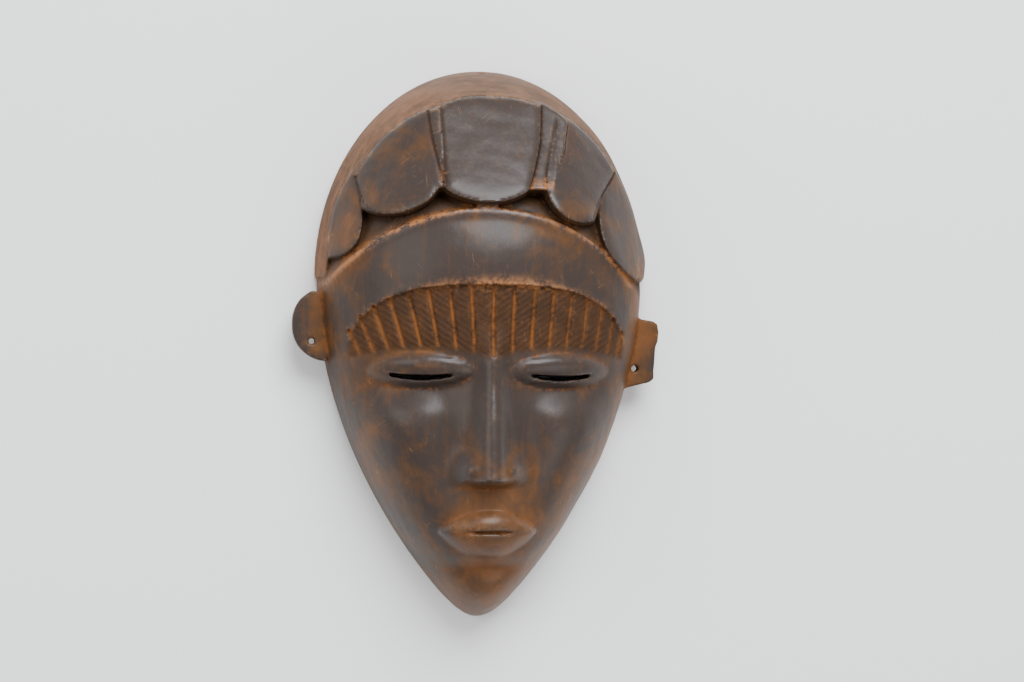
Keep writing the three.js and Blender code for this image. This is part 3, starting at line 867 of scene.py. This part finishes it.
class Finish:
    """A material under construction."""

    def __init__(self, name):
        self.material = bpy.data.materials.new(name)
        self.material.use_nodes = True
        self.tree = self.material.node_tree
        self.tree.nodes.clear()

    def node(self, kind, settings=None, inputs=None, output=0):
        """Adds a node: its settings first, then its sockets by name, number or identifier."""
        node = self.tree.nodes.new(kind)
        for key, value in (settings or {}).items():
            setattr(node, key, value)
        sockets = {socket.identifier: socket for socket in node.inputs}
        for key, value in (inputs or {}).items():
            socket = sockets[key] if key in sockets else node.inputs[key]
            if isinstance(value, Wire):
                self.tree.links.new(value.socket, socket)
            else:
                socket.default_value = value
        outputs = {socket.identifier: socket for socket in node.outputs}
        return Wire(self, outputs[output] if output in outputs else node.outputs[output])

    def grained(self, size, turn=0.0):
        """Coordinates for marks of the given size in metres, turned about Z."""
        where = self.node("ShaderNodeTexCoord", output="Object")
        sockets = {"Vector": where, "Scale": size, "Rotation": (0.0, 0.0, turn)}
        return self.node("ShaderNodeMapping", {"vector_type": "TEXTURE"}, sockets)

    def noise(self, where, scale, detail=4.0, roughness=0.55, distortion=0.0):
        sockets = {"Vector": where, "Scale": scale, "Detail": detail}
        sockets.update(Roughness=roughness, Distortion=distortion)
        return self.node("ShaderNodeTexNoise", {}, sockets, output="Fac")

    def mix(self, factor, a, b):
        """From the first colour at factor 0 to the second at 1, each a link or three numbers."""
        a, b = (value if isinstance(value, Wire) else (*value, 1.0) for value in (a, b))
        sockets = {"Factor_Float": factor, "A_Color": a, "B_Color": b}
        return self.node("ShaderNodeMix", {"data_type": "RGBA"}, sockets, output="Result_Color")

    def bump(self, height, distance, strength, under=None):
        sockets = {"Height": height, "Distance": distance, "Strength": strength}
        if under is not None:
            sockets["Normal"] = under
        return self.node("ShaderNodeBump", {}, sockets, output="Normal")

    def surface(self, **sockets):
        sockets = {name.replace("_", " "): value for name, value in sockets.items()}
        shader = self.node("ShaderNodeBsdfPrincipled", {}, sockets)
        out = self.tree.nodes.new("ShaderNodeOutputMaterial")
        self.tree.links.new(shader.socket, out.inputs["Surface"])
        return self.material


class PatinaWood(Finish):
    """Dark wood polished by handling: rust-brown dust and painted shade in the cuts and seams, painted
    shade in the cove, rubbed edges, a painted highlight along the plates' ridge, fine upright grain.
    """

    masks = ("cavity", "ridge", "sunk", "proud", "brow_panel", "brow_grooves", "panel_edge")
    masks += ("back_band", "cove", "hair_edge", "seam", "ridge_line", "gap", "inside")
    scratches = ((0.016, 0.0005, 0.15), (0.012, 0.0004, -0.95), (0.014, 0.0004, 0.7))

    def __init__(self, looks):
        super().__init__("polished_dark_wood")
        self.looks = looks
        for name in self.masks:
            mask = self.node("ShaderNodeAttribute", {"attribute_name": name}, output="Fac")
            setattr(self, name, mask)
        self.place = self.node("ShaderNodeTexCoord", output="Object")
        self.aside = self.node("ShaderNodeSeparateXYZ", {}, {"Vector": self.place}, output="X")
        self.upwards = self.node("ShaderNodeSeparateXYZ", {}, {"Vector": self.place}, output="Y")
        self.across = self.aside.maths("ABSOLUTE")
        self.clouds = self.noise(self.place, 20.0, 3.0, 0.55, 0.4)
        self.blotches = self.noise(self.place, 70.0, 5.0, 0.65, 0.8)
        self.dust = self.noise(self.place, 420.0, 4.0, 0.7)
        self.grain = self.noise(self.grained((0.0024, 0.038, 0.0024)), 1.0, 5.0, 0.65, 0.3)
        self.speckle = self.blotches * 0.5 + self.dust * 0.5
        self.handled = self.handling()
        self.ticks = self.slanting_cuts()

    def handling(self):
        """Where the patina is thin: at the sides and below, but not on the left ear or middle plate."""
        left_ear = 1 - self.aside.between(-0.091, -0.085)
        middle_plate = self.upwards.between(0.070, 0.085) * (1 - self.across.between(0.018, 0.034))
        middle = 1 - self.across.between(0.015, 0.070)
        kept_dark = left_ear * 0.09 + middle_plate * 0.07 + middle * 0.02
        thin_below = (1 - self.upwards.between(-0.138, -0.03)) * 0.15
        return self.across.between(0.030, 0.088) * 0.10 + thin_below - kept_dark

    def slanting_cuts(self):
        """Fine cuts that lean away from the middle on both sides, faint in places."""
        slant = self.across * 1300.0 - self.upwards * 1950.0 + self.blotches * 9.0
        return slant.maths("SINE") * self.clouds.between(0.30, 0.48)

    def whole_wood(self):
        """Patina where it is whole, brown and rust where it is thin."""
        thin = self.clouds * 0.55 + self.blotches * 0.35 + self.grain * 0.10 + self.handled
        thin = thin + self.sunk * 0.08 - self.proud * 0.11 - self.gap * 0.1
        tone = self.mix(thin.between(0.47, 0.63), self.looks.patina, self.looks.brown)
        tone = self.mix(thin.between(0.57, 0.72) * 0.5, tone, self.looks.rust)
        return self.mix(self.grain.between(0.45, 0.75) * 0.30, tone, self.looks.brown)

    def behind_plates(self, tone):
        """The mottled red-brown band, with faint streaks that run round the head."""
        hoops = self.noise(self.grained((0.030, 0.030, 0.0022)), 1.0, 4.0, 0.6, 0.5)
        mottle = hoops * 0.28 + self.clouds * 0.3 + self.blotches * 0.42
        band = self.mix(mottle.between(0.37, 0.63), self.looks.brown, self.looks.band)
        shade_and_dust = (self.dust * 0.6 + hoops * 0.4).between(0.48, 0.68)
        return self.mix(self.back_band * 0.92, tone, self.mix(shade_and_dust * 0.35, band, self.looks.shade))

    def recesses(self, tone):
        """Painted shade in the cove under the plates, darker in the brow panel, and soft dust in the
        hollows.
        """
        # Painted shade: the cove is darkened towards the shade colour, then deeper still; the brow panel
        # is darkened as well.
        dark = (self.brow_panel * 0.85 + self.cove * 0.95).clamped()
        tone = self.mix(dark, tone, self.looks.shade)
        tone = self.mix(self.cove * 0.45, tone, self.looks.deep)
        soft = self.sunk * 0.35 * (1 - self.gap) * (1 - self.cove) + self.brow_panel * 0.10
        soft = soft * self.speckle.between(0.40, 0.60)
        return self.mix(soft.clamped() * 0.8, tone, self.looks.rust)

    def seams(self, tone):
        """Painted shade in the cuts and between the plates, with rust dust there, rustier at the plates'
        feet.
        """
        cuts = self.cavity.between(0.25, 0.85) * (1 - self.brow_panel) * (1 - self.gap)
        foot = 1 - self.upwards.between(0.076, 0.098) - self.upwards.between(0.084, 0.094)
        dusty = (self.speckle + foot * 0.07 - self.cove * 0.12).between(0.50, 0.62)
        # Painted shade: cuts and seams are darkened towards the deep colour, with rust dust in speckled
        # places.
        shade_and_dust = self.mix(dusty, self.looks.deep, self.looks.rust)
        return self.mix((cuts * 0.75 + self.seam).clamped() * 0.85, tone, shade_and_dust)

    def brow_dust(self, tone):
        """Rust dust in the brow panel's fine cuts and in its grooves, less to the right."""
        tone = self.mix((self.ticks * self.brow_panel * 0.10).clamped(), tone, self.looks.rust)
        share = 0.88 - self.aside.between(0.02, 0.06) * 0.35
        dusty = (self.speckle + self.clouds * 0.3).between(0.46, 0.70) * share
        return self.mix(self.brow_grooves * dusty, tone, self.looks.rust)

    def orange_edges(self, tone):
        """Orange dust on the hairline, over the brow panel and at the foot of the gap."""
        foot_of_gap = self.gap * (1 - self.upwards.between(0.081, 0.086)) * 0.6
        orange = self.hair_edge * 1.6 + self.panel_edge * 0.8 + foot_of_gap
        orange = orange * self.speckle.between(0.41, 0.55)
        return self.mix(orange.clamped() * 0.85, tone, self.looks.ochre)

    def rubbed_edges(self, tone):
        # Rubbed wear on the edges, and a painted highlight: a light line along the plates' upper ridge.
        wear_and_highlight = self.ridge * (1 - self.brow_panel * 0.6) * (1 - self.hair_edge.clamped()) * 0.24
        wear_and_highlight = wear_and_highlight + self.ridge_line * 0.42 + self.panel_edge * 0.3
        rubbed = wear_and_highlight * self.speckle.between(0.47, 0.61)
        return self.mix(rubbed.clamped(), tone, self.looks.rubbed)

    def scratch_lines(self):
        """Short thin scratches in three directions, in the scuffed patches."""
        lines = []
        for length, width, turn in self.scratches:
            marks = self.noise(self.grained((width, length, length), turn), 1.0, 1.0, 0.5, 0.3)
            lines.append(marks.between(0.715, 0.77))
        scuffed = self.blotches.between(0.50, 0.60) * (1 - self.inside)
        return (lines[0] + lines[1] + lines[2]) * scuffed

    def raw_inside(self, tone):
        share = (self.grain * 0.6 + self.clouds * 0.4).between(0.35, 0.65)
        return self.mix(self.inside * 0.8, tone, self.mix(share, self.looks.raw, self.looks.rust))

    def roughness(self):
        dull = self.cavity * 0.25 + self.sunk * 0.08 + self.inside * 0.35 + self.back_band * 0.25
        dull = dull + self.cove * 0.2 + self.brow_panel * 0.22 + self.handled * 1.2
        return (self.looks.roughness + self.blotches * 0.20 + dull - self.proud * 0.08).clamped()

    def polish(self):
        """A thin coat on what hands reach, and none towards the sides or in the cuts."""
        polish = (1 - self.cavity) * (1 - self.inside) * (1 - self.back_band) * (1 - self.brow_panel)
        return polish * (1 - self.across.between(0.045, 0.085)) * (self.proud * 0.28 + 0.17)

    def relief(self, scratches):
        """Grain, pores, cuts and scratches in the light, on top of the knife's faint facets."""
        pores = self.noise(self.grained((0.0007, 0.008, 0.0007)), 1.0, 2.0, 0.5)
        height = self.grain * 0.35 + pores * 0.12 + self.dust * 0.10 - scratches * 0.2
        height = height + self.ticks * self.brow_panel * 0.20 * (1 - self.cavity)
        height = height + self.noise(self.place, 900.0, 3.0, 0.6) * 0.06
        facets = self.noise(self.place, 95.0, 1.0, 0.4) * 0.5
        facets = facets + self.noise(self.place, 210.0, 1.0, 0.4) * 0.25
        return self.bump(height, 0.00055, 0.55, self.bump(facets, 0.0011, 0.5))

    def finished(self):
        scratches = self.scratch_lines()
        tone = self.whole_wood()
        layers = (self.behind_plates, self.recesses, self.seams, self.brow_dust)
        for layer in (*layers, self.orange_edges, self.rubbed_edges):
            tone = layer(tone)
        tone = self.mix((scratches * 0.26).clamped(), tone, self.looks.rubbed)
        return self.surface(
            Base_Color=self.raw_inside(tone),
            Roughness=self.roughness(),
            Normal=self.relief(scratches),
            Specular_IOR_Level=0.12,
            Coat_Weight=self.polish(),
            Coat_Roughness=0.30,
        )


def floor_finish(colour):
    finish = Finish("pale_floor")
    place = finish.node("ShaderNodeTexCoord", output="Object")
    darker = tuple(channel * 0.96 for channel in colour)
    tone = finish.mix(finish.noise(place, 3.0, 2.0) * 0.25, tuple(colour), darker)
    return finish.surface(Base_Color=tone, Roughness=0.9)


# Settings, operators and the panel


def measure(name, description, default):
    return FloatProperty(name=name, description=description, default=default, unit="LENGTH")


def tint(name, description, default):
    return FloatVectorProperty(name=name, description=description, default=default, subtype="COLOR")


class MaskSizes(bpy.types.PropertyGroup):
    height: measure("Height", "Chin to crown", CAD_HEIGHT)
    ear_span: measure("Over the ears", "Width over both ears", CAD_SPAN)
    head_width: measure("Head width", "Widest part of the head", 0.172)
    dome_depth: measure("Dome depth", "Rim to forehead", 0.078)
    rim_wall: measure("Rim wall", "Wall left at the rim", 0.012)
    end_wall: measure("End wall", "Wall left at the ends", 0.014)
    front_wall: measure("Front wall", "Wall behind the face", 0.015)
    plate_lift: measure("Plate lift", "Plates above the head", 0.0042)
    plate_flare: measure("Plate flare", "Right plate past the cheek", 0.0026)
    gap_depth: measure("Gap depth", "Strip beside the middle plate", 0.0032)
    plate_swell: measure("Plate swell", "Rise of each plate", 0.0012)
    bevel_width: measure("Bevel width", "Slope round a plate", 0.0018)
    bevel_drop: measure("Bevel drop", "Height of that slope", 0.0055)
    hairline_recess: measure("Hairline", "Step at the hair", 0.0039)
    panel_depth: measure("Brow panel", "Depth of the panel", 0.0032)
    groove_width: measure("Groove width", "One brow groove", 0.0033)
    groove_depth: measure("Groove depth", "One brow groove", 0.0019)
    grooves_per_side: IntProperty(
        name="Grooves", description="Grooves on each side", default=8, min=1, max=10
    )
    groove_step: FloatProperty(
        name="Groove step", description="Fan's step", default=math.radians(7.5), subtype="ANGLE"
    )
    slit_opening: measure("Eye slit", "Height of the slit", 0.0028)
    voxel: measure("Surface step", "Fineness of the surface", 0.00078)


class MaskLooks(bpy.types.PropertyGroup):
    patina: tint("Patina", "Dark polished wood", (0.036, 0.0255, 0.0215))
    brown: tint("Brown", "Wood where the patina is thin", (0.077, 0.0345, 0.0135))
    # Shade: painted shade in the cove, the darker brow panel, and dark mottling of the band behind the
    # plates.
    shade: tint("Shade", "Dark wood in the recesses", (0.032, 0.0140, 0.0048))
    # Deep: painted shade, deepest in the cove and in the cuts and seams, where dust alternates with it.
    deep: tint("Deep", "Dirt in the seams", (0.022, 0.010, 0.0045))
    band: tint("Back band", "Wood behind the plates", (0.198, 0.093, 0.047))
    rust: tint("Rust", "Dust in the cuts", (0.172, 0.060, 0.016))
    ochre: tint("Ochre", "Orange dust on the edges", (0.310, 0.118, 0.036))
    # Rubbed: bare rubbed edges and scratches, and the painted highlight along the plates' ridge.
    rubbed: tint("Rubbed", "Edges rubbed bare", (0.350, 0.190, 0.095))
    raw: tint("Raw", "Unpolished wood of the hollow", (0.150, 0.085, 0.047))
    roughness: FloatProperty(
        name="Roughness", description="Roughness of the patina", default=0.30, min=0, max=1
    )
    floor: tint("Floor", "Colour of the floor", (0.88, 0.875, 0.865))


class MASK_OT_carve(bpy.types.Operator):
    """Carve the mask from its block and give it its patina"""

    bl_idname = "mask.carve"
    bl_label = "Carve the mask"

    def execute(self, context):
        sizes, looks = context.scene.mask_sizes, context.scene.mask_looks
        form = MaskForm(sizes)
        headdress = Headdress(form, sizes)
        body = carved_body(form, headdress, sizes)
        body.name = "carved_mask"
        apply_modifier(body, "REMESH", mode="VOXEL", voxel_size=sizes.voxel / MM)
        apply_modifier(body, "SMOOTH", factor=0.5, iterations=3)
        wear_down(body, form, headdress, sizes)
        thin_out(body, MOST_TRIANGLES)
        move_points(body, (points_of(body) + (form.head_aside, 0, 0)) * MM)
        only(body)
        bpy.ops.object.shade_smooth()
        body.data.materials.clear()
        body.data.materials.append(PatinaWood(looks).finished())
        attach(body, "root")
        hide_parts("mask")
        return {"FINISHED"}


class MASK_OT_stage(bpy.types.Operator):
    """Lay out the pale floor, the soft lights and the camera"""

    bl_idname = "mask.stage"
    bl_label = "Set the stage"

    def execute(self, context):
        floor = primitive("floor", bpy.ops.mesh.primitive_plane_add, size=8, location=(0, 0, 0))
        floor.data.materials.append(floor_finish(context.scene.mask_looks.floor))
        self.light("sky_window", (0.25, 1.15, 1.5), 1.3, 66, (0.92, 0.96, 1.0))
        self.light("side_fill", (-1.3, 0.2, 1.1), 1.2, 10, (1.0, 0.98, 0.95))
        self.light("low_fill", (0.8, -1.0, 1.2), 1.2, 8, (1.0, 0.97, 0.93))
        self.room_light(context.scene, (0.93, 0.96, 1.0, 1), 0.72)
        self.camera(context.scene)
        return {"FINISHED"}

    def room_light(self, scene, colour, strength):
        world = bpy.data.worlds.new("soft_room")
        world.use_nodes = True
        background = world.node_tree.nodes["Background"]
        background.inputs["Color"].default_value = colour
        background.inputs["Strength"].default_value = strength
        scene.world = world

    def light(self, name, place, size, power, colour):
        lamp = primitive(name, bpy.ops.object.light_add, type="AREA", location=place)
        lamp.data.shape = "DISK"
        lamp.data.size = size
        lamp.data.energy = power
        lamp.data.color = colour
        towards_mask = Vector((0, 0, 0.03)) - Vector(place)
        lamp.rotation_euler = towards_mask.to_track_quat("-Z", "Y").to_euler()

    def camera(self, scene):
        """Looks down on the mask from a little to its left, with the crown at the top."""
        turn, roll = math.radians(6.7), math.radians(0.5)
        picture_width, pixels_per_mm, sensor = 1024, 1.886, 36
        far, level, shift_right, shift_up = 1.7, 0.010, 0.0201, 0.0013
        frame_width = picture_width / pixels_per_mm * MM
        back = Vector((-math.sin(turn), 0, math.cos(turn)))
        up = Vector((-math.sin(roll), math.cos(roll), 0))
        right = up.cross(back).normalized()
        up = back.cross(right)
        data = bpy.data.cameras.new("camera")
        data.sensor_width = sensor
        data.lens = sensor * far / frame_width
        camera = bpy.data.objects.new("camera", data)
        scene.collection.objects.link(camera)
        turned = Matrix((right, up, back)).transposed().to_4x4()
        centre = Vector((0, 0, level)) + right * shift_right + up * shift_up
        turned.translation = centre + back * far
        camera.matrix_world = turned
        scene.camera = camera


class VIEW3D_PT_carved_mask(bpy.types.Panel):
    """Sizes, looks and steps of the carved mask"""

    bl_idname = "VIEW3D_PT_carved_mask"
    bl_label = "Carved Face Mask"
    bl_space_type = "VIEW_3D"
    bl_region_type = "UI"
    bl_category = "Mask"

    def draw(self, context):
        for group in (context.scene.mask_sizes, context.scene.mask_looks):
            box = self.layout.box()
            for name in group.__annotations__:
                box.prop(group, name)
        for step in STEPS:
            self.layout.operator(step.bl_idname)


STEPS = (MASK_OT_carve, MASK_OT_stage)
CLASSES = (MaskSizes, MaskLooks, *STEPS, VIEW3D_PT_carved_mask)


def register():
    for item in CLASSES:
        bpy.utils.register_class(item)
    bpy.types.Scene.mask_sizes = PointerProperty(type=MaskSizes)
    bpy.types.Scene.mask_looks = PointerProperty(type=MaskLooks)


def unregister():
    del bpy.types.Scene.mask_looks
    del bpy.types.Scene.mask_sizes
    for item in reversed(CLASSES):
        bpy.utils.unregister_class(item)


def main():
    register()
    bpy.ops.mask.stage()
    bpy.ops.mask.carve()


if __name__ == "__main__":
    main()
